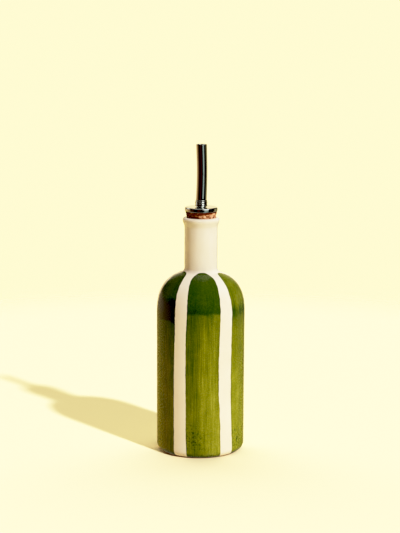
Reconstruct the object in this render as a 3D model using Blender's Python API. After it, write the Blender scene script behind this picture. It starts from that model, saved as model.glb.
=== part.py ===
# A ceramic oil bottle with a cork pourer. Metres, Z up, the origin at the centre of the foot.
import math

import bmesh
import bpy

MM = 0.001

# Driving dimensions, in millimetres
BODY_RADIUS = 37.0
SHOULDER_START = 116.95  # height at which the straight side begins to turn in
SHOULDER_RISE = 36.4  # height that the dome would reach on the axis, above its start
SHOULDER_POWER = 2.6  # 2 is an ellipse, and more is squarer
FOOT_CORNER = 5.9
FOOT_RING_WIDTH = 5.1
FOOT_RECESS = 1.2
WALL = 5.0
DOME_WALL = 4.6

NECK_RADIUS = 13.85
NECK_FILLET = 4.5
LIP_RADIUS = 15.4
LIP_ROLL = 1.9
LIP_INNER_ROLL = 0.8
LIP_UNDERSIDE = 189.5  # height at which the neck begins to swell into the lip
RIM_HEIGHT = 197.4

GAP = 0.3  # clearance between pieces that touch on the real bottle

CORK_BOTTOM = 177.5
CORK_BOTTOM_RADIUS = 10.3
CORK_RIM_RADIUS = 12.05  # where it leaves the rim
CORK_HEAD_RADIUS = 13.0  # squeezed out under the cap
CORK_CHAMFER = 0.8

CAP_BOTTOM = 203.1
CAP_TOP = 206.5
CAP_WIDEST = 204.25
CAP_RADIUS = 13.65
CAP_BOTTOM_RADIUS = 13.15
CAP_TOP_ROLL = 1.1

STEM_RADIUS = 3.5
STEM_BORE = 2.9
STEM_BOTTOM = 174.5
COLLAR_FOOT_RADIUS = 3.9
COLLAR_GROOVE_RADIUS = 4.55
COLLAR_RIDGES = ((211.8, 0.6, 4.85), (210.2, 1.0, 5.15), (208.1, 1.15, 5.05))  # height, half height, radius
SOCKET_DEPTH = 1.2

TUBE_RADIUS = 4.1
TUBE_BORE = 3.4
TUBE_TOP = 258.5
TUBE_LIP_ROLL = 0.25

# The painted stripes: the middle and half of the width of each, in degrees round from the front
STRIPES = ((3.0, 22.3), (66.5, 23.0), (126.3, 21.8), (185.0, 22.0), (242.8, 21.3), (301.5, 22.5))
STRIPE_TOP = 152.5
CLAY_TOP = 1.0  # the glaze is wiped off below this

# How finely the round forms are faceted
BOTTLE_SIDES = 60
CORK_SIDES = 36
CAP_SIDES = 48
COLLAR_SIDES = 32
TUBE_SIDES = 28
SHOULDER_STEPS = 13
INSIDE_STEPS = 8
CORNER_STEPS = 6
EASE_STEPS = 6
ROLL_STEPS = 5
SMALL_ROLL_STEPS = 3
RIDGE_STEPS = 6
SHARP_ANGLE = math.radians(32)
SAME_POINT = 0.01


def arc(centre, radius, start, end, steps):
    # points of a circle from one angle to the other, in degrees, 0 outwards and 90 up
    points = []
    for i in range(steps + 1):
        angle = math.radians(start + (end - start) * i / steps)
        points.append((centre[0] + radius * math.cos(angle), centre[1] + radius * math.sin(angle)))
    return points


def ease(upper, lower, steps):
    # a soft S between two (radius, height) points, going down, without the upper one
    points = []
    for i in range(1, steps + 1):
        share = i / steps
        soft = share * share * (3 - 2 * share)
        radius = upper[0] + soft * (lower[0] - upper[0])
        points.append((radius, upper[1] + share * (lower[1] - upper[1])))
    return points


def dome(radius, rise, turn):
    # the point of the shoulder at a turn from 0, at its foot, to 90 degrees, on the axis
    power = 2 / SHOULDER_POWER
    angle = math.radians(turn)
    return radius * math.cos(angle) ** power, SHOULDER_START + rise * math.sin(angle) ** power


def dome_turn(radius, wanted):
    # the turn at which the shoulder has come in to the wanted radius
    return math.degrees(math.acos((wanted / radius) ** (SHOULDER_POWER / 2)))


def fillet_meeting():
    # where the concave fillet under the neck touches the shoulder, found by halving: the turn and the centre
    low, high = dome_turn(BODY_RADIUS, BODY_RADIUS * 0.9), dome_turn(BODY_RADIUS, NECK_RADIUS)
    nudge = 0.01
    while high - low > nudge * nudge:
        turn = (low + high) / 2
        here = dome(BODY_RADIUS, SHOULDER_RISE, turn)
        ahead = dome(BODY_RADIUS, SHOULDER_RISE, turn + nudge)
        along = math.dist(here, ahead)
        out = (ahead[1] - here[1]) / along, (here[0] - ahead[0]) / along
        centre = here[0] + NECK_FILLET * out[0], here[1] + NECK_FILLET * out[1]
        if centre[0] > NECK_RADIUS + NECK_FILLET:
            low = turn
        else:
            high = turn
    return turn, centre


def cork_radius(height):
    share = (height - CORK_BOTTOM) / (RIM_HEIGHT - CORK_BOTTOM)
    return CORK_BOTTOM_RADIUS + share * (CORK_RIM_RADIUS - CORK_BOTTOM_RADIUS)


def inside_profile():
    # from the floor's centre up the inner wall and dome to the bore at the cork's lower end
    floor = FOOT_RECESS + WALL
    inner = BODY_RADIUS - WALL
    bore = cork_radius(CORK_BOTTOM) + GAP
    points = [(0, floor)]
    points += arc((inner - FOOT_CORNER, floor + FOOT_CORNER), FOOT_CORNER, -90, 0, CORNER_STEPS)
    last = dome_turn(inner, bore)
    for i in range(INSIDE_STEPS + 1):
        points.append(dome(inner, SHOULDER_RISE - DOME_WALL, last * i / INSIDE_STEPS))
    points.append((bore, CORK_BOTTOM))
    return points


def lip_profile():
    # from the bore over the rolled rim and down to the neck
    bore = cork_radius(RIM_HEIGHT) + GAP
    inner_crown = bore + LIP_INNER_ROLL, RIM_HEIGHT - LIP_INNER_ROLL
    crown = LIP_RADIUS - LIP_ROLL, RIM_HEIGHT - LIP_ROLL
    points = arc(inner_crown, LIP_INNER_ROLL, 180, 90, SMALL_ROLL_STEPS)
    points += arc(crown, LIP_ROLL, 90, 0, ROLL_STEPS)
    points += ease(points[-1], (NECK_RADIUS, LIP_UNDERSIDE), EASE_STEPS)
    return points


def shoulder_profile():
    # the fillet under the neck, then the dome down to the straight side
    turn, centre = fillet_meeting()
    here = dome(BODY_RADIUS, SHOULDER_RISE, turn)
    end = math.degrees(math.atan2(here[1] - centre[1], here[0] - centre[0])) % 360
    points = arc(centre, NECK_FILLET, 180, end, ROLL_STEPS)
    for i in range(1, SHOULDER_STEPS + 1):
        points.append(dome(BODY_RADIUS, SHOULDER_RISE, turn * (1 - i / SHOULDER_STEPS)))
    return points


def foot_profile():
    # the rounded corner, the flat ring that it stands on and the shallow recess
    ring = BODY_RADIUS - FOOT_CORNER
    inner = ring - FOOT_RING_WIDTH
    points = arc((ring, FOOT_CORNER), FOOT_CORNER, 0, -90, CORNER_STEPS)
    points += [(inner, 0), (inner - FOOT_RECESS, FOOT_RECESS), (0, FOOT_RECESS)]
    return points


def bottle_profile():
    return inside_profile() + lip_profile() + shoulder_profile() + foot_profile()


def cork_profile():
    # down the outside from the squeezed head, then the hole for the stem
    hole = STEM_RADIUS + GAP
    top = CAP_BOTTOM - GAP
    edge = CORK_CHAMFER / 2
    points = [(hole, top), (CORK_HEAD_RADIUS - edge, top), (CORK_HEAD_RADIUS, top - edge)]
    points += ease(points[-1], (CORK_RIM_RADIUS, RIM_HEIGHT), EASE_STEPS)
    points.append((cork_radius(CORK_BOTTOM + CORK_CHAMFER), CORK_BOTTOM + CORK_CHAMFER))
    points.append((CORK_BOTTOM_RADIUS - CORK_CHAMFER, CORK_BOTTOM))
    points.append((hole, CORK_BOTTOM))
    return points


def cap_profile():
    # a rolled upper edge, then a side that draws in a little towards the cork
    hole = STEM_RADIUS + GAP
    points = [(hole, CAP_TOP)]
    points += arc((CAP_RADIUS - CAP_TOP_ROLL, CAP_TOP - CAP_TOP_ROLL), CAP_TOP_ROLL, 90, 0, ROLL_STEPS)
    points.append((CAP_RADIUS, CAP_WIDEST))
    points.append((CAP_BOTTOM_RADIUS, CAP_BOTTOM))
    points.append((hole, CAP_BOTTOM))
    return points


def ridge(height, half, radius):
    # one rounded ridge of the collar from its upper groove down to its lower one
    points = []
    for i in range(RIDGE_STEPS + 1):
        angle = math.pi * i / RIDGE_STEPS
        swell = (radius - COLLAR_GROOVE_RADIUS) * math.sin(angle)
        points.append((COLLAR_GROOVE_RADIUS + swell, height + half * math.cos(angle)))
    return points


def socket_floor():
    height, half, _ = COLLAR_RIDGES[0]
    return height + half - SOCKET_DEPTH


def collar_profile():
    # the socket that holds the tube, the ridges, and the stem down through cap and cork
    socket = TUBE_RADIUS + GAP
    seat = CAP_TOP + GAP
    points = [(STEM_BORE, socket_floor()), (socket, socket_floor()), (socket, socket_floor() + SOCKET_DEPTH)]
    for height, half, radius in COLLAR_RIDGES:
        points += ridge(height, half, radius)
    points += [(COLLAR_FOOT_RADIUS, seat), (STEM_RADIUS, seat)]
    points += [(STEM_RADIUS, STEM_BOTTOM), (STEM_BORE, STEM_BOTTOM)]
    return points


def tube_profile():
    # a thin straight tube, open at both ends, its upper edge barely rounded
    bottom = socket_floor() + GAP
    roll = TUBE_LIP_ROLL
    points = arc((TUBE_BORE + roll, TUBE_TOP - roll), roll, 180, 90, SMALL_ROLL_STEPS)
    points += arc((TUBE_RADIUS - roll, TUBE_TOP - roll), roll, 90, 0, SMALL_ROLL_STEPS)
    points += [(TUBE_RADIUS, bottom), (TUBE_BORE, bottom)]
    return points


def spaced(points):
    # the same points without those that fall on the one before
    kept = []
    for point in points:
        if not kept or math.dist(point, kept[-1]) > SAME_POINT:
            kept.append(point)
    return kept


def material(name, colour, roughness, metallic=0.0):
    made = bpy.data.materials.new(name)
    made.use_nodes = True
    shader = made.node_tree.nodes["Principled BSDF"]
    shader.inputs["Base Color"].default_value = (*colour, 1)
    shader.inputs["Roughness"].default_value = roughness
    shader.inputs["Metallic"].default_value = metallic
    return made


def turned(name, points, sides, finish, closed=True):
    # a profile of (radius, height) pairs turned about Z: a closed ring, or open from axis to axis
    points = spaced(points)
    form = bmesh.new()
    corners = [form.verts.new((radius * MM, 0, height * MM)) for radius, height in points]
    edges = [form.edges.new(pair) for pair in zip(corners, corners[1:])]
    if closed:
        edges.append(form.edges.new((corners[-1], corners[0])))
    bmesh.ops.spin(
        form,
        geom=corners + edges,
        cent=(0, 0, 0),
        axis=(0, 0, 1),
        angle=math.tau,
        steps=sides,
    )
    bmesh.ops.remove_doubles(form, verts=form.verts, dist=SAME_POINT * MM / 10)
    bmesh.ops.recalc_face_normals(form, faces=form.faces)
    mesh = bpy.data.meshes.new(name)
    form.to_mesh(mesh)
    form.free()
    mesh.materials.append(finish)
    mesh.shade_smooth()
    mesh.set_sharp_from_angle(angle=SHARP_ANGLE)
    made = bpy.data.objects.new(name, mesh)
    bpy.context.scene.collection.objects.link(made)
    return made


def paint_bottle(bottle, paint, clay):
    # the stripes on the outside of the body, and the bare clay of the foot
    bottle.data.materials.append(paint)
    bottle.data.materials.append(clay)
    inner = (BODY_RADIUS - WALL) * MM
    for face in bottle.data.polygons:
        x, y, z = face.center
        outside = math.hypot(x, y) > inner or face.normal.z > 0.5 and z > SHOULDER_START * MM
        round_from_front = math.degrees(math.atan2(x, -y)) % 360
        if z < CLAY_TOP * MM or face.normal.z < -0.9 and z < FOOT_CORNER * MM:
            face.material_index = 2
        elif outside and z < STRIPE_TOP * MM:
            for middle, half in STRIPES:
                if abs((round_from_front - middle + 180) % 360 - 180) < half:
                    face.material_index = 1


def main():
    for old in list(bpy.data.objects):
        bpy.data.objects.remove(old)
    glaze = material("glaze", (0.78, 0.74, 0.62), 0.15)
    paint = material("green_paint", (0.13, 0.16, 0.01), 0.2)
    clay = material("clay", (0.3, 0.13, 0.06), 0.9)
    bark = material("cork", (0.42, 0.2, 0.09), 0.85)
    steel = material("steel", (0.62, 0.63, 0.6), 0.12, 1.0)
    bottle = turned("bottle", bottle_profile(), BOTTLE_SIDES, glaze, closed=False)
    paint_bottle(bottle, paint, clay)
    turned("cork", cork_profile(), CORK_SIDES, bark)
    turned("cap_disc", cap_profile(), CAP_SIDES, steel)
    turned("collar", collar_profile(), COLLAR_SIDES, steel)
    turned("spout_tube", tube_profile(), TUBE_SIDES, steel)


main()
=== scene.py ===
import math

import bmesh
import bpy
import numpy as np
from mathutils import Matrix, Vector, noise


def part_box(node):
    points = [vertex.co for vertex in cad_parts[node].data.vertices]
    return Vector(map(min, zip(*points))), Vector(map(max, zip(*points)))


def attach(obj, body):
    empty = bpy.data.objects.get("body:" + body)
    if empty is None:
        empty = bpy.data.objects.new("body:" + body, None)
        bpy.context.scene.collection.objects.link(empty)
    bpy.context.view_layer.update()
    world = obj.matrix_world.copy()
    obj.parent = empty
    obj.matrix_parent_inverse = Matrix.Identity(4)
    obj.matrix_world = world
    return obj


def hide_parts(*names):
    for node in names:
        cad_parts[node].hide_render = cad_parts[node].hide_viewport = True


# An oil bottle of glazed ceramic with brushed green stripes, stoppered by a cork with a steel pourer.
# Lengths are in millimetres up to the moment that a mesh is made, and angles round the bottle are
# in degrees from the front, positive towards the right hand.
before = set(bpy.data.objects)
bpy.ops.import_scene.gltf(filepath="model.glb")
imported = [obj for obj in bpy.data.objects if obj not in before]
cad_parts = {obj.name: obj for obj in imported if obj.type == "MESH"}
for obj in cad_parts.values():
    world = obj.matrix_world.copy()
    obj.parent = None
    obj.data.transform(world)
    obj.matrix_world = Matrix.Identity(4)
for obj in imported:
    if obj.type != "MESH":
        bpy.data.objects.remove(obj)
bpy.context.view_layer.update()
mm = 0.001
onAxis = 1e-6  # a point nearer the axis than this is a single one
sharpAngle = 50.0  # between two faces, from which the edge stays sharp


def boxInMm(node):
    low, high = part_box(node)
    return [c / mm for c in low], [c / mm for c in high]


class Wire:
    # one socket of a node tree, which takes part in ordinary expressions
    def __init__(self, tree, socket=None):
        self.tree = tree
        self.socket = socket

    def node(self, kind, settings=None, sockets=None, output=0):
        made = self.tree.nodes.new("ShaderNode" + kind)
        for name, value in (settings or {}).items():
            if name == "stops":
                self.fillRamp(made.color_ramp, value)
            elif name == "curve":
                self.fillCurve(made.mapping, value)
            else:
                setattr(made, name, value)
        for name, value in (sockets or {}).items():
            if isinstance(value, Wire):
                self.tree.links.new(value.socket, made.inputs[name])
            else:
                made.inputs[name].default_value = value
        return Wire(self.tree, made.outputs[output] if made.outputs else None)

    def fillRamp(self, ramp, stops):
        while len(ramp.elements) < len(stops):
            ramp.elements.new(0.5)
        for element, (place, colour) in zip(ramp.elements, stops):
            element.position = place
            element.color = (*colour, 1)

    def fillCurve(self, mapping, places):
        points = mapping.curves[0].points
        while len(points) < len(places):
            points.new(0.5, 0.5)
        for point, place in zip(points, places):
            point.location = place
        mapping.update()

    def plain(self):
        return self.socket.type in ("VALUE", "INT")

    def math(self, operation, first, second=None):
        # plain values meet in a Math node, and as soon as one side is a vector, in a Vector Math node
        sides = [side for side in (first, second) if side is not None]
        if all(not isinstance(side, Wire) or side.plain() for side in sides):
            return self.node("Math", {"operation": operation}, dict(enumerate(sides)))
        sides = [side if isinstance(side, Wire) else (side,) * 3 for side in sides]
        return self.node("VectorMath", {"operation": operation}, dict(enumerate(sides)))

    def __add__(self, other):
        return self.math("ADD", self, other)

    def __sub__(self, other):
        return self.math("SUBTRACT", self, other)

    def __mul__(self, other):
        return self.math("MULTIPLY", self, other)

    def __truediv__(self, other):
        return self.math("DIVIDE", self, other)

    def __pow__(self, other):
        return self.math("POWER", self, other)

    def __radd__(self, other):
        return self.math("ADD", other, self)

    def __rsub__(self, other):
        return self.math("SUBTRACT", other, self)

    def __rmul__(self, other):
        return self.math("MULTIPLY", other, self)

    def __rtruediv__(self, other):
        return self.math("DIVIDE", other, self)

    def __rpow__(self, other):
        return self.math("POWER", other, self)

    def __neg__(self):
        return self.math("MULTIPLY", self, -1)

    def __abs__(self):
        return self.math("ABSOLUTE", self)

    def least(self, other):
        return self.math("MINIMUM", self, other)

    def most(self, other):
        return self.math("MAXIMUM", self, other)

    def rise(self, low, high):
        # a soft step from 0 at low to 1 at high, whichever of the two is the higher one
        settings = {"interpolation_type": "SMOOTHSTEP"}
        return self.node("MapRange", settings, {"Value": self, "From Min": low, "From Max": high})

    def split(self):
        return [self.node("SeparateXYZ", {}, {0: self}, axis) for axis in range(3)]

    def joined(self, x, y, z):
        return self.node("CombineXYZ", {}, {0: x, 1: y, 2: z})

    def between(self, start, end, how="MIX"):
        # from one colour to another, as far as this value says
        ends = [colour if isinstance(colour, Wire) else (*colour, 1) for colour in (start, end)]
        settings = {"data_type": "RGBA", "blend_type": how}
        return self.node("Mix", settings, {0: self, 6: ends[0], 7: ends[1]}, 2)

    def cloud(self, scale, detail=2.0, roughness=0.5, distortion=0.0):
        # fractal noise at the places that this vector gives, about 0.5
        sockets = {
            "Vector": self,
            "Scale": scale,
            "Detail": detail,
            "Roughness": roughness,
            "Distortion": distortion,
        }
        return self.node("TexNoise", {}, sockets)

    def curve(self, places):
        # a smooth line through (value, result) pairs, level beyond both ends
        low, high = places[0][0], places[-1][0]
        least = min(result for _, result in places) - 1
        most = max(result for _, result in places) + 1
        scaled = [((at - low) / (high - low), (result - least) / (most - least)) for at, result in places]
        share = self.node("MapRange", {}, {"Value": self, "From Min": low, "From Max": high})
        return self.node("FloatCurve", {"curve": scaled}, {"Value": share}) * (most - least) + least

    def height(self, strength, distance):
        # a bump whose relief is this value times distance, in metres
        return self.node("Bump", {}, {"Height": self, "Strength": strength, "Distance": distance})


def newFinish(name):
    finish = bpy.data.materials.new(name)
    finish.use_nodes = True
    finish.node_tree.nodes.clear()
    return finish, Wire(finish.node_tree)


def closeFinish(board, sockets):
    shader = board.node("BsdfPrincipled", {}, sockets)
    board.node("OutputMaterial", {}, {"Surface": shader})


def placeInMm(board):
    return board.node("TexCoord", {}, {}, "Object") * (1 / mm)


def roundAxis(place):
    # the radius, height and degrees round of a place
    x, y, z = place.split()
    radius = (x * x + y * y) ** 0.5
    turn = place.math("ARCTAN2", x, -y) * (180 / math.pi)
    return radius, z, turn


def arc(centre, radius, start, end, steps):
    # points of a circle from one angle to the other, 0 outwards and 90 up
    angles = [math.radians(start + (end - start) * i / steps) for i in range(steps + 1)]
    return [(centre[0] + radius * math.cos(a), centre[1] + radius * math.sin(a)) for a in angles]


def ease(upper, lower, steps):
    # a soft S from one (radius, height) point down to another, without the first
    points = []
    for i in range(1, steps + 1):
        share = i / steps
        soft = share * share * (3 - 2 * share)
        points.append((upper[0] + soft * (lower[0] - upper[0]), upper[1] + share * (lower[1] - upper[1])))
    return points


def straight(upper, lower, steps):
    # points evenly between two others, without the first
    return [
        (upper[0] + (lower[0] - upper[0]) * i / steps, upper[1] + (lower[1] - upper[1]) * i / steps)
        for i in range(1, steps + 1)
    ]


def drawnIn(point, inward):
    # the point moved towards the axis, at the same height
    share = 1 - inward / math.hypot(point.x, point.y)
    return Vector((point.x * share, point.y * share, point.z))


def turnPiece(name, outline, sides, finishes, ring=False, shape=None, slotAt=None):
    # an outline of (radius, height) points turned about the axis. A ring joins its last point to its
    # first, and any other outline starts and ends on the axis. shape moves each point, all in mm.
    form = bmesh.new()
    rows = []
    for radius, height in outline:
        count = 1 if radius < onAxis else sides
        row = []
        for k in range(count):
            angle = math.tau * k / sides
            point = Vector((radius * math.sin(angle), -radius * math.cos(angle), height))
            if shape:
                point = shape(point)
            row.append(form.verts.new(point * mm))
        rows.append(row)
    pairs = list(zip(rows, rows[1:]))
    if ring:
        pairs.append((rows[-1], rows[0]))
    for index, (upper, lower) in enumerate(pairs):
        for k in range(sides):
            after = (k + 1) % sides
            corners = [upper[k % len(upper)], lower[k % len(lower)]]
            corners += [lower[after % len(lower)], upper[after % len(upper)]]
            face = form.faces.new(dict.fromkeys(corners))
            face.material_index = slotAt(index) if slotAt else 0
    bmesh.ops.recalc_face_normals(form, faces=form.faces)
    mesh = bpy.data.meshes.new(name)
    form.to_mesh(mesh)
    form.free()
    for finish in finishes:
        mesh.materials.append(finish)
    mesh.shade_smooth()
    mesh.set_sharp_from_angle(angle=math.radians(sharpAngle))
    piece = bpy.data.objects.new(name, mesh)
    bpy.context.scene.collection.objects.link(piece)
    return piece


def standFor(piece, node):
    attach(piece, "root")
    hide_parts(node)


# The bottle

bottleHigh = boxInMm("bottle")[1]
bodyRadius = bottleHigh[0]
rimHeight = bottleHigh[2] + 0.45  # the rim swells a little above its nominal height

bottleForm = {
    "sides": 216,
    "shoulderStart": 116.95,  # where the straight side begins to turn in
    "shoulderRise": 36.4,  # what the dome would reach on the axis, above its start
    "shoulderPower": 2.6,  # 2 is an ellipse, and more is squarer
    "footCorner": 5.9,
    "footRing": 5.1,  # width of the flat ring that it stands on
    "footRecess": 1.2,
    "wall": 5.0,
    "domeWall": 4.6,
    "neckRadius": 13.85,
    "neckFillet": 4.5,
    "lipRadius": 15.4,
    "lipRoll": 1.9,
    "lipInnerRoll": 0.8,
    "lipUnderside": 189.5,
    "boreAtRim": 12.2,
    "boreAtBottom": 10.45,
    "boreBottom": 177.5,
    "handWobble": 0.11,  # how uneven the cast body is
    "slowWaves": (1.3, 38.0),  # of the wobble: how many round the body, and the height of one
    "fineWaves": (3.0, 11.0),
    "fineShare": 0.3,
    "truePart": 1.0,  # what stays true beside the bore and above the ground
}

bottleSteps = {
    "insideCorner": 8,
    "insideDome": 20,
    "innerRoll": 8,
    "lipRoll": 12,
    "underLip": 14,
    "neck": 22,
    "fillet": 14,
    "dome": 56,
    "side": 60,
    "footCorner": 14,
}


def domePoint(radius, rise, turn):
    power = 2 / bottleForm["shoulderPower"]
    angle = math.radians(turn)
    return radius * math.cos(angle) ** power, bottleForm["shoulderStart"] + rise * math.sin(angle) ** power


def domeTurn(radius, wanted):
    # the turn at which the shoulder has come in to the wanted radius
    return math.degrees(math.acos((wanted / radius) ** (bottleForm["shoulderPower"] / 2)))


def filletMeeting():
    # where the fillet under the neck touches the shoulder, found by halving
    form = bottleForm
    low, high = domeTurn(bodyRadius, bodyRadius * 0.9), domeTurn(bodyRadius, form["neckRadius"])
    nudge = 0.01
    while high - low > nudge * nudge:
        turn = (low + high) / 2
        here = domePoint(bodyRadius, form["shoulderRise"], turn)
        ahead = domePoint(bodyRadius, form["shoulderRise"], turn + nudge)
        along = math.dist(here, ahead)
        outward = (ahead[1] - here[1]) / along, (here[0] - ahead[0]) / along
        centre = here[0] + form["neckFillet"] * outward[0], here[1] + form["neckFillet"] * outward[1]
        if centre[0] > form["neckRadius"] + form["neckFillet"]:
            low = turn
        else:
            high = turn
    return turn, centre


def insideOutline():
    # up the inside, from the middle of its floor to the bottom of the bore
    form = bottleForm
    floor = form["footRecess"] + form["wall"]
    inner = bodyRadius - form["wall"]
    corner = form["footCorner"]
    points = [(0, floor)]
    points += arc((inner - corner, floor + corner), corner, -90, 0, bottleSteps["insideCorner"])
    last = domeTurn(inner, form["boreAtBottom"])
    rise = form["shoulderRise"] - form["domeWall"]
    count = bottleSteps["insideDome"]
    points += [domePoint(inner, rise, last * i / count) for i in range(count + 1)]
    points.append((form["boreAtBottom"], form["boreBottom"]))
    return points


def outsideOutline():
    # over the rim, down the neck and the shoulder, down the side, and under the foot
    form, steps = bottleForm, bottleSteps
    roll, innerRoll = form["lipRoll"], form["lipInnerRoll"]
    innerCentre = form["boreAtRim"] + innerRoll, rimHeight - innerRoll
    points = arc(innerCentre, innerRoll, 180, 90, steps["innerRoll"])
    points += arc((form["lipRadius"] - roll, rimHeight - roll), roll, 90, 0, steps["lipRoll"])
    points += ease(points[-1], (form["neckRadius"], form["lipUnderside"]), steps["underLip"])
    turn, centre = filletMeeting()
    points += straight(points[-1], (form["neckRadius"], centre[1]), steps["neck"])[:-1]
    here = domePoint(bodyRadius, form["shoulderRise"], turn)
    end = math.degrees(math.atan2(here[1] - centre[1], here[0] - centre[0])) % 360
    points += arc(centre, form["neckFillet"], 180, end, steps["fillet"])
    for i in range(1, steps["dome"] + 1):
        points.append(domePoint(bodyRadius, form["shoulderRise"], turn * (1 - i / steps["dome"])))
    corner = form["footCorner"]
    points += straight(points[-1], (bodyRadius, corner), steps["side"])[:-1]
    ring = bodyRadius - corner
    points += arc((ring, corner), corner, 0, -90, steps["footCorner"])
    inner = ring - form["footRing"]
    recess = form["footRecess"]
    points += [(inner, 0), (inner - recess / 3, recess / 3), (inner - recess, recess), (0, recess)]
    return points


def handMade(point):
    # the outside draws in here and there by a tenth of a millimetre, never past the true radius
    form = bottleForm
    flat = math.hypot(point.x, point.y)
    if flat < form["boreAtRim"] + form["truePart"] or point.z < form["truePart"]:
        return point
    waves = []
    for (count, tall), shift in ((form["slowWaves"], 0), (form["fineWaves"], 7)):
        place = Vector((point.x / flat * count, point.y / flat * count, point.z / tall + shift))
        waves.append(noise.noise(place))
    inward = form["handWobble"] * (0.5 + 0.5 * (waves[0] + form["fineShare"] * waves[1]))
    return drawnIn(point, inward)


# Edges are (reach, degrees round) pairs from the foot up, reach being the height on the straight side
# and going on in along the shoulder, up to the tip. coat is the height down to which the second coat was
# brushed, soft how gradually it ends, cover how much it hides (below 0, how much it rubbed off), pool how
# dark it gathered at its end and gather how far up. load is paint beyond the usual amount, lean what the
# brush left more of on the left than on the right, and the last value a painted warm shade: a browner tint,
# strongest on the stripe that lies on the shaded left side.
stripes = [
    {
        "left": (
            (0, -18.2), (33, -19.2), (60, -19.6), (100, -19.5),
            (125, -18.1), (140, -18.7), (152, -19.7), (174, -24),
        ),
        "right": (
            (0, 27.9), (32, 26.5), (67, 24.3), (101, 25.2),
            (125, 26.5), (140, 26.9), (152, 27.8), (174, 32),
        ),
        "tip": 175.9,
        "coat": 122.3,
        "soft": 1.5,
        "cover": 0.95,
        "pool": 0.08,
        "gather": 10.0,
        "load": -0.02,
        "lean": 0.19,
        "shadeWarmth": 0.05,
    },
    {
        "left": (
            (0, 46.3), (30, 44.2), (57, 42.8), (99, 43.5),
            (125, 44.3), (140, 43.9), (150, 44.2), (174, 50),
        ),
        "right": ((0, 88.6), (60, 90.2), (125, 89.4), (150, 89.6), (174, 87)),
        "tip": 173.2,
        "coat": 119.5,
        "soft": 4.5,
        "cover": -0.2,
        "pool": 0.28,
        "gather": 11.0,
        "load": -0.05,
        "lean": 0.0,
        "shadeWarmth": 0.0,
    },
    {
        "left": ((0, 104.4), (50, 105.6), (100, 103.9), (140, 104.6), (174, 104)),
        "right": ((0, 148.5), (40, 147.0), (90, 148.2), (140, 148.9), (174, 150)),
        "tip": 174.4,
        "coat": 121.0,
        "soft": 1.6,
        "cover": 0.9,
        "pool": 0.09,
        "gather": 10.0,
        "load": 0.02,
        "lean": 0.1,
        "shadeWarmth": 0.1,
    },
    {
        "left": ((0, 163.2), (45, 161.9), (95, 163.4), (140, 162.6), (174, 161)),
        "right": ((0, 206.2), (55, 207.6), (105, 206.3), (140, 207.3), (174, 208)),
        "tip": 173.8,
        "coat": 117.5,
        "soft": 2.4,
        "cover": 1.0,
        "pool": 0.12,
        "gather": 12.0,
        "load": 0.05,
        "lean": 0.12,
        "shadeWarmth": 0.2,
    },
    {
        "left": ((0, 221.2), (50, 222.7), (100, 221.3), (140, 220.8), (174, 220)),
        "right": ((0, 263.4), (60, 264.8), (110, 263.7), (140, 264.6), (174, 265)),
        "tip": 174.8,
        "coat": 123.0,
        "soft": 1.4,
        "cover": 0.85,
        "pool": 0.085,
        "gather": 10.0,
        "load": 0.03,
        "lean": 0.08,
        "shadeWarmth": 0.3,
    },
    # this stripe lies on the side away from the key light: its higher load, pool and gather are thicker paint
    # and also darken it as painted shade
    {
        "left": ((0, 278.6), (60, 279.4), (116, 279.0), (135, 281.5), (150, 281.5), (164, 271), (174, 268)),
        "right": (
            (0, 324.0), (75, 323.8), (109, 325.2), (125, 325.5), (140, 324.4), (158, 323.2), (174, 320),
        ),
        "tip": 175.2,
        "coat": 116.2,
        "soft": 3.2,
        "cover": 0.5,
        "pool": 0.72,
        "gather": 21.0,
        "load": 0.22,
        "lean": 0.0,
        "shadeWarmth": 0.7,
    },
]

paintLook = {
    "archStart": 150.0,  # the reach at which a stripe begins to close to its round top
    "archPower": 3.0,
    "stripeRange": (33, 27),  # degrees from its middle over which a stripe's own values end
    "edgeWander": 1.1,  # the width over which a brushed edge strays, in mm, as the next two
    "edgeRagged": 0.28,
    "edgeBlur": 0.22,
    "colours": (  # from the thinnest paint to the thickest
        (0.0, (0.36, 0.36, 0.055)),
        (0.3, (0.215, 0.22, 0.008)),
        (0.5, (0.125, 0.137, 0.003)),
        (0.7, (0.050, 0.082, 0.002)),
        (0.88, (0.013, 0.044, 0.001)),
        (1.0, (0.004, 0.008, 0.001)),
    ),
    # the tint of the painted warm shade on stripes that lie away from the key light
    "shadeWarmTint": (1.0, 0.76, 0.6),
    "glaze": (0.77, 0.70, 0.58),
    "glazeThin": (0.68, 0.56, 0.36),  # where it runs thin over the edges of the lip and the foot
    "patches": (0.3, 0.7),  # of the noise, from and to
    "patchDepth": 0.25,
    "thinLip": ((-1.5, 0.1), 0.1),  # ((from, to), weight), in mm above the rim
    "thinFoot": ((3.2, 0.8), 0.8),  # the same, in mm above the ground
    "clay": (0.30, 0.13, 0.055),
    "clayShades": (0.6, 1.35),
    "clayTop": 1.0,
    "clayWander": 1.3,
    "clayBlur": 0.12,
    "roughness": 0.24,
    "paintRoughness": 0.27,
    "clayRoughness": 0.4,  # beyond the glaze
    "shine": 0.34,
    "relief": 0.00012,  # in metres, of which the next four are shares
    "skinRelief": (0.7, 0.04),  # slow and fine
    "paintRelief": 0.31,
    "hairRelief": 0.12,
    "clayRelief": 1.5,
}

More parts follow.
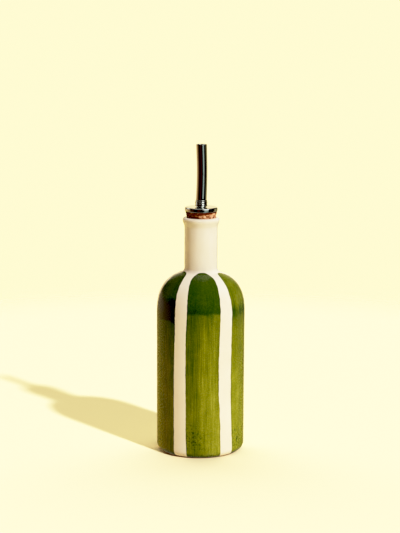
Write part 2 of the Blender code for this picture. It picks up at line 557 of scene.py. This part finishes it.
# What the brush does to the thickness of the paint, which goes from 0 to 1. Each of its marks is a
# noise: how it is stretched along the stroke, its scale, detail, roughness, distortion and weight.
# A soft step is written ((from, to), weight), or (from, to) where it has no weight.
brush = {
    "usual": 0.48,
    "marks": {
        "hairs": (0.03, 1.15, 3.5, 0.62, 0.0, 0.72),
        "fineHairs": (0.03, 2.645, 2, 0.5, 0.0, 0.28),
        "bands": (0.03, 0.16, 2, 0.5, 0.0, 0.3),
        "dabs": (1.0, 0.085, 3, 0.55, 0.4, 0.34),
    },
    "coatLine": (6, 4),  # mm that its end wanders, slowly and with the hairs
    "coatLoad": 0.27,
    "coatEvens": 0.7,  # how far the second coat evens out what is under it
    "coatTop": ((128, 172), 0.02),  # mm of reach, over which the coat thins
    "coatRubbed": 0.3,
    "gatherFrom": 0.25,  # share of a stripe's gather up to which it is darkest
    "leanLeft": (-3, 13),  # degrees to the left of the stripe's middle
    "leanRight": ((4, 16), 0.3),  # and to the right
    "edge": ((1.5, 0.1), 0.1),  # mm inside the stripe
    "underCoat": ((-24, -1), 0.1),  # mm above the coat's end
    "foot": ((4.4, 1.7), 0.3),  # mm of height
    "footWander": (5, 3),  # mm, with the bands and with the hairs
    "fade": ((112, 20), 0.13),  # mm of height
    "mottle": ((0.53, 0.6), 0.46),  # of the noise that also rubs the coat
    "mottleFrom": (6, 10),  # mm of height, as the next two
    "mottleTo": (34, 16),
    "mottleWander": 30,
    "mottleRight": ((-12, 6), 0.85),  # degrees to the right of the stripe's middle
}


def stripeAt(stripe, turn, reach):
    # how far inside the stripe a point is, and how far to the right of its middle, in degrees
    left, right = reach.curve(stripe["left"]), reach.curve(stripe["right"])
    start, power = paintLook["archStart"], paintLook["archPower"]
    up = ((reach - start) / (stripe["tip"] - start)).most(0).least(1)
    closing = (1 - up ** power) ** (1 / power)
    beyond = (reach - stripe["tip"]).most(0) * 5
    half = (right - left) * 0.5 * closing - beyond
    middle = (left + right) * 0.5
    aside = turn.node("Math", {"operation": "WRAP"}, {0: turn - middle, 1: 180.0, 2: -180.0})
    return half - abs(aside), aside


def stripesAt(turn, reach):
    # the same over all stripes, and the values of the nearest one
    inside, side = None, None
    own = dict.fromkeys(("coat", "soft", "cover", "pool", "gather", "load", "lean", "shadeWarmth"))
    for stripe in stripes:
        depth, aside = stripeAt(stripe, turn, reach)
        inside = depth if inside is None else inside.most(depth)
        near = abs(aside).rise(*paintLook["stripeRange"])
        side = near * aside if side is None else side + near * aside
        for name, total in own.items():
            own[name] = near * stripe[name] if total is None else total + near * stripe[name]
    return inside, side, own


def step(value, ends, weight):
    return value.rise(*ends) * weight


def brushMarks(around):
    # each kind of mark about 0, and all of them together
    marks, together = {}, None
    for name, (stretch, scale, detail, roughness, distortion, weight) in brush["marks"].items():
        stroke = around * around.joined(1.0, 1.0, stretch)
        marks[name] = stroke.cloud(scale, detail, roughness, distortion) - 0.5
        part = marks[name] * weight
        together = part if together is None else together + part
    return marks, together


def paintThickness(around, marks, together, inside, side, own, height, reach):
    slow, fast = brush["coatLine"]
    coatLine = own["coat"] + (around.cloud(0.2, 3, 0.65) - 0.5) * slow + marks["hairs"] * fast
    above = height - coatLine
    passed = above.rise(-own["soft"], own["soft"])
    gathered = 1 - above.rise(own["gather"] * brush["gatherFrom"], own["gather"])
    lean = own["lean"] * ((-side).rise(*brush["leanLeft"]) - step(side, *brush["leanRight"]))
    rubbed = around.cloud(0.5, 4, 0.7)
    low = height.rise(*brush["mottleFrom"])
    low = low * (height + marks["dabs"] * brush["mottleWander"]).rise(*brush["mottleTo"])
    mottle = step(rubbed, *brush["mottle"]) * low * (1 - step(side, *brush["mottleRight"]))
    slow, fast = brush["footWander"]
    footLine = height + marks["bands"] * slow + marks["hairs"] * fast
    thick = together + own["load"] + lean + mottle + brush["usual"]
    thick = thick + step(inside, *brush["edge"]) + step(above, *brush["underCoat"])
    thick = thick + step(footLine, *brush["foot"]) - step(height, *brush["fade"])
    evened = (thick - 0.5) * brush["coatEvens"]
    added = brush["coatLoad"] - evened - step(reach, *brush["coatTop"])
    added = added + (rubbed - 0.5) * brush["coatRubbed"]
    return thick + passed * own["cover"] * added + passed * gathered * own["pool"]


def bareGlaze(around, height):
    # the cream glaze, a little thinner and warmer in patches and over the edges of the lip and the foot
    look = paintLook
    low, high = look["patches"]
    patches = around.cloud(0.04, 3, 0.5)
    patches = patches.node("MapRange", {}, {"Value": patches, "From Min": low, "From Max": high})
    overEdges = step(height - rimHeight, *look["thinLip"]) + step(height, *look["thinFoot"])
    thin = (patches * look["patchDepth"] + overEdges).least(1)
    return thin.between(look["glaze"], look["glazeThin"])


def bareClay(place, around, height):
    # the clay at the very foot: where it shows, its colour and its grit
    look = paintLook
    edge = look["clayTop"] + (around.cloud(0.3, 3, 0.6) - 0.5) * look["clayWander"]
    shown = (height - edge).rise(look["clayBlur"], -look["clayBlur"])
    grit = place.cloud(1.4, 4, 0.7)
    dark, light = [tuple(c * shade for c in look["clay"]) for shade in look["clayShades"]]
    return shown, grit.between(dark, light), grit


def paintedFinish():
    look = paintLook
    finish, board = newFinish("brushed stripes under glaze")
    place = placeInMm(board)
    radius, height, turn = roundAxis(place)
    reach = height + bodyRadius - radius
    x, y, _ = place.split()
    around = board.joined(x / radius * bodyRadius, y / radius * bodyRadius, reach)

    inside, side, own = stripesAt(turn, reach)
    wander = (around.cloud(0.13, 2, 0.6) - 0.5) * look["edgeWander"]
    ragged = (around.cloud(1.6, 2, 0.6) - 0.5) * look["edgeRagged"]
    inside = inside * (radius * (math.pi / 180)) + wander + ragged
    painted = inside.rise(-look["edgeBlur"] / 2, look["edgeBlur"])
    marks, together = brushMarks(around)
    thick = paintThickness(around, marks, together, inside, side, own, height, reach)
    paint = board.node("ValToRGB", {"stops": look["colours"]}, {"Fac": thick})
    # painted warm shade: stripes away from the key light are tinted browner
    paint = own["shadeWarmth"].between(paint, look["shadeWarmTint"], "MULTIPLY")
    clay, clayColour, grit = bareClay(place, around, height)
    colour = clay.between(painted.between(bareGlaze(around, height), paint), clayColour)

    roughness = look["roughness"] + painted * (look["paintRoughness"] - look["roughness"])
    roughness = roughness + (around.cloud(0.9, 3, 0.6) - 0.5) * 0.1 + clay * look["clayRoughness"]
    slow, fine = look["skinRelief"]
    relief = place.cloud(0.32, 2, 0.5) * slow + place.cloud(1.7, 2, 0.5) * fine
    relief = relief + painted * (marks["hairs"] * look["hairRelief"] + look["paintRelief"])
    relief = relief + clay * grit * look["clayRelief"]
    closeFinish(board, {
        "Base Color": colour,
        "Roughness": roughness,
        "Normal": relief.height(0.6, look["relief"]),
        "Specular IOR Level": look["shine"],
    })
    return finish


def insideFinish():
    # the same glaze, poured round the inside, with no paint on it
    finish, board = newFinish("glaze inside")
    place = placeInMm(board)
    patches = place.cloud(0.05, 3, 0.5)
    closeFinish(board, {
        "Base Color": patches.between(paintLook["glaze"], paintLook["glazeThin"]),
        "Roughness": 0.32 + patches * 0.12,
        "Normal": place.cloud(0.3, 2, 0.5).height(0.6, 0.0001),
    })
    return finish


def makeBottle():
    inner, outer = insideOutline(), outsideOutline()
    crown = len(inner) + bottleSteps["innerRoll"] // 2
    bottle = turnPiece(
        "stripedBottle",
        inner + outer,
        bottleForm["sides"],
        [paintedFinish(), insideFinish()],
        shape=handMade,
        slotAt=lambda index: 1 if index < crown else 0,
    )
    standFor(bottle, "bottle")
    print("bottle made,", len(bottle.data.polygons), "faces")


makeBottle()


# The cork

corkLow = boxInMm("cork")[0]
capLow, capHigh = boxInMm("cap_disc")

corkForm = {
    "sides": 420,
    "bottomRadius": 10.3,
    "rimRadius": 12.05,
    "headRadius": 13.0,
    "holeRadius": 3.8,
    "flatRadius": 8.0,  # of the top, within which it needs no points
    "chamfer": 0.8,
    "closeness": 0.05,  # what is left of the gap under the cap
    "inNeck": (0.2, 1.8),  # how far it has drawn in, this far below the rim
    "visibleRows": 46,
    "grainSize": 1.5,
    "grainFlat": 1.25,  # how much flatter than wide the granules are
    "grainBend": 0.35,
    "bendSeed": 1,  # without it the bend is another one at each run
    "creviceWidth": 0.28,
    "creviceDepth": 0.26,
    "grainDepth": 0.14,
    "pitShare": 0.28,  # the higher, the fewer pits
    "pitDepth": 0.6,
    "roughDepth": 0.06,
    "roughFrom": 6.0,  # below the rim, where the uneven surface begins
}

corkLook = {
    "dark": (0.11, 0.013, 0.003),
    "middle": (0.48, 0.18, 0.06),
    "light": (0.95, 0.60, 0.36),
    "crevice": (0.035, 0.005, 0.002),
    "paintedShadeSide": (-125, -8, 26),  # from and to, in degrees, the side away from the key light that is darkened as painted shade, and how softly
    "paintedShadeDepth": 0.6,
    "capShadowBand": (3.2, 2.0, 0.028),  # mm below the cap, from and to, that is darkened as a painted shadow of the cap, and its slant
    "tones": (0.12, 0.45, 0.95),  # at which it is dark, middle and light
    "tone": 0.34,
    "grainTone": 0.38,
    "fineTone": 0.5,
    "creviceShade": (0.4, 0.5),  # how dark a crevice is, and how much darker on the side painted in shade
    "specks": ((0.62, 0.8), 0.3),  # of the fine noise, ((from, to), weight)
    "relief": 0.00025,
}


def corkOutline():
    form = corkForm
    bottom = corkLow[2]
    top = capLow[2] - form["closeness"]
    edge = form["chamfer"] / 2
    points = [(form["holeRadius"], top), (form["flatRadius"], top)]
    points += straight(points[-1], (form["headRadius"] - edge, top), 24)
    points += arc((form["headRadius"] - edge, top - edge), edge, 90, 0, 4)[1:]
    points += ease(points[-1], (form["rimRadius"], rimHeight), form["visibleRows"])
    inward, below = form["inNeck"]
    points += straight(points[-1], (points[-1][0] - inward, rimHeight - below), 10)
    points += straight(points[-1], (form["bottomRadius"] + 0.1, bottom + form["chamfer"]), 12)
    points += [(form["bottomRadius"] - form["chamfer"], bottom), (form["holeRadius"], bottom)]
    return points


def corkGrain(point):
    # pressed granules: how near the crevice between two of them a point is, and a value of its granule
    places = Vector((point.x, point.y, point.z * corkForm["grainFlat"])) / corkForm["grainSize"]
    bend = noise.noise_vector(places * 0.9) * corkForm["grainBend"]
    distances, centres = noise.voronoi(places + bend)
    crevice = max(0.0, 1 - (distances[1] - distances[0]) / corkForm["creviceWidth"])
    return crevice * crevice, noise.cell(centres[0] * 7.3 + Vector((0.5, 0.5, 0.5)))


def corkSurface(point):
    form = corkForm
    if math.hypot(point.x, point.y) < form["holeRadius"] + 1 or point.z < rimHeight - form["roughFrom"]:
        return point
    crevice, grain = corkGrain(point)
    pit = max(0.0, noise.noise(point * 0.75 + Vector((3, 9, 4))) - form["pitShare"])
    rough = abs(noise.fractal(point * 1.1, 0.8, 2.2, 3))
    inward = crevice * form["creviceDepth"] + grain * form["grainDepth"]
    return drawnIn(point, inward + pit * form["pitDepth"] + rough * form["roughDepth"])


def corkTones(mesh):
    # keeps each point's crevice and granule beside the mesh, for the colour to follow
    tones = mesh.color_attributes.new("granules", "FLOAT_COLOR", "POINT")
    values = np.ones((len(mesh.vertices), 4), dtype=np.float32)
    for index, vertex in enumerate(mesh.vertices):
        values[index, :2] = corkGrain(vertex.co / mm)
    tones.data.foreach_set("color", values.ravel())


def corkFinish():
    look = corkLook
    finish, board = newFinish("pressed cork")
    granules = board.node("Attribute", {"attribute_name": "granules"}, {}, "Color")
    crevice, grain, _ = granules.split()
    place = placeInMm(board)
    _, height, turn = roundAxis(place)
    fine = place.cloud(2.4, 4, 0.7)
    # painted shade: the cork darkened on the side away from the key light, its edge wandering and leaning
    # with height
    start, end, soft = look["paintedShadeSide"]
    edge = turn + (place.cloud(0.3, 3, 0.6) - 0.5) * 90 + (height - rimHeight) * 8
    paintedShadeSide = edge.rise(start - soft, start + soft) * edge.rise(end + soft, end - soft)
    # painted shadow of the cap: the cork just under it darkened, deeper towards the shaded side
    low, high, slant = look["capShadowBand"]
    under = (height - turn * slant).rise(capLow[2] - low, capLow[2] - high)
    tone = grain * look["grainTone"] + fine * look["fineTone"] + look["tone"]
    # the painted shade of that side and of the cap's shadow, taken off the tone
    tone = tone - paintedShadeSide.most(under) * look["paintedShadeDepth"]
    stops = tuple(zip(look["tones"], (look["dark"], look["middle"], look["light"])))
    colour = board.node("ValToRGB", {"stops": stops}, {"Fac": tone})
    # the cork's own crevices and specks, with the crevices darker still on the side painted in shade
    dry, more = look["creviceShade"]
    creviceSpecksAndShade = (crevice * (dry + paintedShadeSide * more) + step(fine, *look["specks"])).least(1)
    closeFinish(board, {
        "Base Color": creviceSpecksAndShade.between(colour, look["crevice"]),
        "Roughness": 0.78 + fine * 0.2,
        "Normal": (fine * 0.7 + place.cloud(6.0, 3, 0.7) * 0.4).height(0.9, look["relief"]),
        "Specular IOR Level": 0.25,
    })
    return finish


def makeCork():
    noise.seed_set(corkForm["bendSeed"])
    cork = turnPiece(
        "corkStopper",
        corkOutline(),
        corkForm["sides"],
        [corkFinish()],
        ring=True,
        shape=corkSurface,
    )
    corkTones(cork.data)
    standFor(cork, "cork")
    print("cork made,", len(cork.data.polygons), "faces")


makeCork()


# The steel pourer

collarLow, collarHigh = boxInMm("collar")
tubeLow, tubeHigh = boxInMm("spout_tube")

pourerForm = {
    "capSides": 240,
    "capBottomRadius": 13.15,
    "capWidest": 204.0,
    "capRoll": 1.1,
    "capTuckSteps": 12,
    "stemHole": 3.8,
    "collarSides": 160,
    "stemRadius": 3.5,
    "stemBore": 2.9,
    "stemEdge": 0.15,
    "footRadius": 3.9,
    "footHeight": 0.35,
    "grooveRadius": 4.55,
    "ridges": ((211.8, 0.6, 4.85), (210.2, 1.0, 5.15), (208.1, 1.15, 5.05)),  # height, half height, radius
    "ridgeSteps": 14,
    "socketDepth": 1.2,
    "socketRoom": 0.44,  # round the tube's nominal radius
    "tubeSides": 144,
    "tubeWall": 0.7,
    "tubeLip": 0.31,
    "tubeRows": 60,
    "tubeBow": 0.55,  # how far the middle of the tube stands to the right of its ends
    "tubeStout": 0.28,
    "tubeFlare": 0.12,
    "tubeSeat": 1.4,  # the height over which it comes to its full width, inside the collar
}

steelLook = {
    "colour": (0.60, 0.61, 0.575),
    "stain": (0.42, 0.40, 0.34),
    "stainDepth": 0.35,
    "roughness": 0.055,
    "markRoughness": 0.09,
    "scratchRoughness": 0.05,
    "drawn": (1.0, 1.0, 0.04),  # how scratches along a piece are stretched
    "relief": 0.00005,  # in metres, of which the next two are shares
    "scratchRelief": 0.06,
    "waveRelief": 1.2,
}


def capOutline():
    form = pourerForm
    top, bottom = capHigh[2], capLow[2]
    roll, radius = form["capRoll"], capHigh[0]
    points = [(form["stemHole"], top)]
    points += straight(points[-1], (radius - roll, top), 24)
    points += arc((radius - roll, top - roll), roll, 90, 0, 20)[1:]
    points += straight(points[-1], (radius, form["capWidest"]), 4)
    under = form["capWidest"] - bottom
    tuck = radius - form["capBottomRadius"]
    for i in range(1, form["capTuckSteps"] + 1):
        angle = math.radians(90 * i / form["capTuckSteps"])
        points.append((radius - tuck * (1 - math.cos(angle)), form["capWidest"] - under * math.sin(angle)))
    points.append((form["stemHole"], bottom))
    return points


def collarOutline():
    form = pourerForm
    height, half, _ = form["ridges"][0]
    floor = height + half - form["socketDepth"]
    socket = tubeHigh[0] + form["socketRoom"]
    points = [(form["stemBore"], floor), (socket, floor), (socket, height + half - 0.1)]
    for height, half, radius in form["ridges"]:
        for i in range(form["ridgeSteps"] + 1):
            angle = math.pi * i / form["ridgeSteps"]
            swell = (radius - form["grooveRadius"]) * math.sin(angle) ** 0.8
            points.append((form["grooveRadius"] + swell, height + half * math.cos(angle)))
    seat, stem, edge = capHigh[2], form["stemRadius"], form["stemEdge"]
    points += ease(points[-1], (form["footRadius"], seat + form["footHeight"]), 6)
    points += [(form["footRadius"] - 0.1, seat), (stem, seat)]
    points += straight(points[-1], (stem, collarLow[2] + edge), 12)
    points += [(stem - edge, collarLow[2]), (form["stemBore"], collarLow[2])]
    return points


def tubeOutline():
    form = pourerForm
    radius = tubeHigh[0]
    bore = radius - form["tubeWall"]
    roll, top, bottom = form["tubeLip"], tubeHigh[2], tubeLow[2]
    points = arc((bore + roll, top - roll), roll, 180, 90, 5)
    points += arc((radius - roll, top - roll), roll, 90, 0, 5)
    points += straight(points[-1], (radius, bottom), form["tubeRows"])
    points.append((bore, bottom))
    points += straight(points[-1], (bore, top - roll), form["tubeRows"])[:-1]
    return points


def tubeShape(point):
    # the tube bows a little and widens towards both ends
    form = pourerForm
    share = (point.z - tubeLow[2]) / (tubeHigh[2] - tubeLow[2])
    wider = form["tubeStout"] + form["tubeFlare"] * abs(2 * share - 1) ** 2.5
    wider *= min(1.0, (point.z - tubeLow[2]) / form["tubeSeat"])
    bow = form["tubeBow"] * math.sin(math.pi * min(max(share, 0), 1)) ** 1.2
    return drawnIn(point, -wider) + Vector((bow, 0, 0))


def steelFinish(name, along):
    # polished steel with fine scratches, along the piece or round it, and faint finger marks
    look = steelLook
    finish, board = newFinish(name)
    place = placeInMm(board)
    if along:
        scratched = place * board.joined(*look["drawn"])
    else:
        radius, height, turn = roundAxis(place)
        scratched = board.joined(turn * 0.02, radius, height)
    scratch = scratched.cloud(7.0, 3, 0.6)
    marks = place.cloud(0.35, 4, 0.6).rise(0.5, 0.75)
    roughness = look["roughness"] + marks * look["markRoughness"] + scratch * look["scratchRoughness"]
    relief = scratch * look["scratchRelief"] + place.cloud(0.22, 2, 0.5) * look["waveRelief"]
    closeFinish(board, {
        "Base Color": (marks * look["stainDepth"]).between(look["colour"], look["stain"]),
        "Roughness": roughness,
        "Metallic": 1.0,
        "Normal": relief.height(0.35, look["relief"]),
    })
    return finish


def makePourer():
    form = pourerForm
    turned, ridged = steelFinish("turned steel", False), steelFinish("ridged steel", False)
    drawn = steelFinish("drawn steel", True)
    cap = turnPiece("steelCap", capOutline(), form["capSides"], [turned], ring=True)
    standFor(cap, "cap_disc")
    collar = turnPiece("ridgedCollar", collarOutline(), form["collarSides"], [ridged], ring=True)
    standFor(collar, "collar")
    tube = turnPiece("pouringTube", tubeOutline(), form["tubeSides"], [drawn], ring=True, shape=tubeShape)
    standFor(tube, "spout_tube")
    print("pourer made")
    return [cap, collar, tube]


steelPieces = makePourer()


# The studio

studio = {
    "floorRadius": 0.75,  # metres, as all sizes in this part
    "floorFade": 0.2,
    "paper": (0.97, 0.83, 0.50),
    "paperShade": 0.985,  # of the darker fibres
    "sunFrom": (0.499, -0.587, 0.637),  # the way to the key light
    "sunStrength": 4.2,
    "sunAngle": 2.7,
    "sunColour": (1.0, 1.0, 1.0),
    "fill": (2.42, 2.45, 1.9),  # from behind
    "fillFrom": (0.13, 0.82),
    "warmth": (0.2, 0.04, 0.0),  # a warmer glow from the left
    "warmthFrom": (-0.3, -0.8),
    "backdrop": (1.35, 1.12, 0.66),  # as the steel mirrors it
    "backdropFrom": (0.88, 0.985),
    "backdropTop": (0.5, 0.25),
    "room": (0.010, 0.006, 0.004),
    "seen": (1.55, 1.32, 0.66),  # what the camera sees behind everything
    # the tone of the print: linear light that comes out black, and full white, and the curve between
    "black": 0.009,
    "white": 1.6,
    "tone": ((0.0, 0.0), (0.156, 0.245), (0.375, 0.6), (0.5, 0.765), (0.625, 0.87), (0.78, 0.95), (1.0, 1.0)),
}

# things round the room that the steel and the glaze mirror: degrees round from the camera's side, half
# of their width, softness of their edges, how far down and up they reach, 1 being overhead, and light
mirrored = {
    "wall": (-134, 47, 11, -0.5, 0.06, (0.54, 0.29, 0.12)),
    "curtain": (-142, 29, 10, -0.5, -0.16, (0.84, 0.62, 0.10)),
    "curtainTop": (-142, 29, 10, -0.18, 0.05, (0.84, 0.62, 0.33)),
    "screen": (124, 18, 7, -0.5, 0.2, (0.42, 0.36, 0.18)),
    "window": (36, 13, 6, -0.168, 0.0, (0.46, 0.58, 0.54)),
    "tabletop": (38, 17, 7, -0.97, -0.5, (0.5, 0.62, 0.6)),
    "tableLeft": (-105, 42, 15, -0.97, -0.5, (0.40, 0.33, 0.22)),
    "tableBack": (150, 38, 12, -0.97, -0.5, (0.55, 0.47, 0.33)),
    "door": (-66, 10, 7, -0.5, 0.1, (0.06, 0.022, 0.010)),
    "shelf": (-18, 9, 5, -0.5, 0.1, (0.07, 0.018, 0.007)),
}
mirroredSoft = 0.02, 0.05  # their lower and upper edges

# cards that light only the steel, for the glints on its ridges: degrees round and up, width and height
# in metres, power and colour
cards = {
    "glintCard": (37.0, 27.0, (0.42, 0.34), 1.45, (0.97, 1.0, 0.98)),
    "leftCard": (-112.0, 26.0, (0.30, 0.26), 0.5, (1.0, 0.98, 0.92)),
    "topCard": (0.0, 88.0, (0.9, 0.9), 1.1, (1.0, 0.97, 0.9)),
}
cardDistance = 0.6


def paperFinish():
    paper = studio["paper"]
    shaded = tuple(c * studio["paperShade"] for c in paper)
    finish, board = newFinish("pale paper")
    place = board.node("TexCoord", {}, {}, "Object")
    fibre = place.cloud(900.0, 4, 0.6)
    drift = place.cloud(2.0, 2, 0.5)
    sheet = board.node("BsdfPrincipled", {}, {
        "Base Color": (fibre * 0.5 + drift * 0.5).between(shaded, paper),
        "Roughness": 0.9 + fibre * 0.08,
        "Normal": fibre.height(0.2, 0.0001),
        "Specular IOR Level": 0.0,
    })
    x, y, _ = place.split()
    rim = ((x * x + y * y) ** 0.5).rise(studio["floorRadius"] - studio["floorFade"], studio["floorRadius"])
    faded = board.node("MixShader", {}, {0: rim, 1: sheet, 2: board.node("BsdfTransparent")})
    board.node("OutputMaterial", {}, {"Surface": faded})
    return finish


def makeFloor():
    form = bmesh.new()
    bmesh.ops.create_circle(form, cap_ends=True, radius=studio["floorRadius"], segments=96)
    mesh = bpy.data.meshes.new("paperFloor")
    form.to_mesh(mesh)
    form.free()
    mesh.materials.append(paperFinish())
    floor = bpy.data.objects.new("paperFloor", mesh)
    floor.visible_glossy = False
    bpy.context.scene.collection.objects.link(floor)


def makeRoom():
    # what is mirrored, a soft fill for the matt light, and a plain cream ground behind it all
    world = bpy.data.worlds.new("studioRoom")
    world.use_nodes = True
    world.node_tree.nodes.clear()
    bpy.context.scene.world = world
    board = Wire(world.node_tree)
    direction = board.node("TexCoord", {}, {}, "Generated")
    flat, z, turn = roundAxis(direction)
    x, y, _ = direction.split()
    back, right = y / flat.most(0.001), x / flat.most(0.001)

    backdrop = back.rise(*studio["backdropFrom"]) * z.rise(*studio["backdropTop"])
    colour = backdrop.between(studio["room"], studio["backdrop"])
    lowSoft, highSoft = mirroredSoft
    for middle, half, soft, low, high, light in mirrored.values():
        across = abs(turn - middle).rise(half + soft, half - soft)
        tall = z.rise(low - lowSoft, low + lowSoft) * z.rise(high + highSoft, high - highSoft)
        colour = (across * tall).between(colour, light)

    aboveFloor = z.rise(-0.05, 0.0)
    fill = board.joined(*studio["fill"]) * back.rise(*studio["fillFrom"]) * aboveFloor
    fill = fill + board.joined(*studio["warmth"]) * right.rise(*studio["warmthFrom"]) * aboveFloor
    colour = board.node("LightPath", {}, {}, "Is Diffuse Ray").between(colour, fill)
    colour = board.node("LightPath", {}, {}, "Is Camera Ray").between(colour, studio["seen"])
    shader = board.node("Background", {}, {"Color": colour, "Strength": 1.0})
    board.node("OutputWorld", {}, {"Surface": shader})


def makeKey():
    sun = bpy.data.lights.new("keyLight", "SUN")
    sun.energy = studio["sunStrength"]
    sun.angle = math.radians(studio["sunAngle"])
    sun.color = studio["sunColour"]
    key = bpy.data.objects.new("keyLight", sun)
    key.rotation_euler = Vector(studio["sunFrom"]).to_track_quat("Z", "Y").to_euler()
    key.visible_glossy = False
    bpy.context.scene.collection.objects.link(key)


def makeCards():
    steelOnly = bpy.data.collections.new("steelOnly")
    for piece in steelPieces:
        steelOnly.objects.link(piece)
    for name, (turn, rise, size, power, colour) in cards.items():
        area = bpy.data.lights.new(name, "AREA")
        area.shape = "RECTANGLE"
        area.size, area.size_y = size
        area.energy = power
        area.color = colour
        card = bpy.data.objects.new(name, area)
        turn, rise = math.radians(turn), math.radians(rise)
        way = Vector((math.sin(turn) * math.cos(rise), -math.cos(turn) * math.cos(rise), math.sin(rise)))
        card.location = Vector((0, 0, collarHigh[2] * mm)) + way * cardDistance
        card.rotation_euler = way.to_track_quat("Z", "Y").to_euler()
        bpy.context.scene.collection.objects.link(card)
        card.visible_camera = False
        card.light_linking.receiver_collection = steelOnly


camera = {
    "elevation": 9.9,
    "distance": 1.171,
    "aimHeight": 0.1562,
    "aside": -0.0008,  # the camera stands this much to the left
    "roll": 0.28,
    "frame": (400, 533),
    "focalPixels": 1400.0,
    "sensor": 36.0,
    "clip": (0.05, 20),
}


def makeCamera():
    view = bpy.data.cameras.new("camera")
    view.sensor_width = camera["sensor"]
    view.lens = camera["focalPixels"] / max(camera["frame"]) * camera["sensor"]
    view.clip_start, view.clip_end = camera["clip"]
    eye = bpy.data.objects.new("camera", view)
    down = math.radians(camera["elevation"])
    back = camera["distance"] * math.cos(down)
    place = Vector((camera["aside"], -back, camera["aimHeight"] + camera["distance"] * math.sin(down)))
    tilt = Matrix.Rotation(math.pi / 2 - down, 4, "X")
    roll = Matrix.Rotation(math.radians(camera["roll"]), 4, "Z")
    eye.matrix_world = Matrix.Translation(place) @ tilt @ roll
    bpy.context.scene.collection.objects.link(eye)
    bpy.context.scene.camera = eye


def setTone():
    settings = bpy.context.scene.view_settings
    settings.view_transform = "Standard"
    settings.use_curve_mapping = True
    tone = settings.curve_mapping
    tone.black_level = (studio["black"],) * 3
    tone.white_level = (studio["white"],) * 3
    points = tone.curves[3].points
    while len(points) < len(studio["tone"]):
        points.new(0.5, 0.5)
    for point, place in zip(points, studio["tone"]):
        point.location = place
    tone.update()


makeFloor()
makeRoom()
makeKey()
makeCards()
makeCamera()
setTone()
print("studio made")
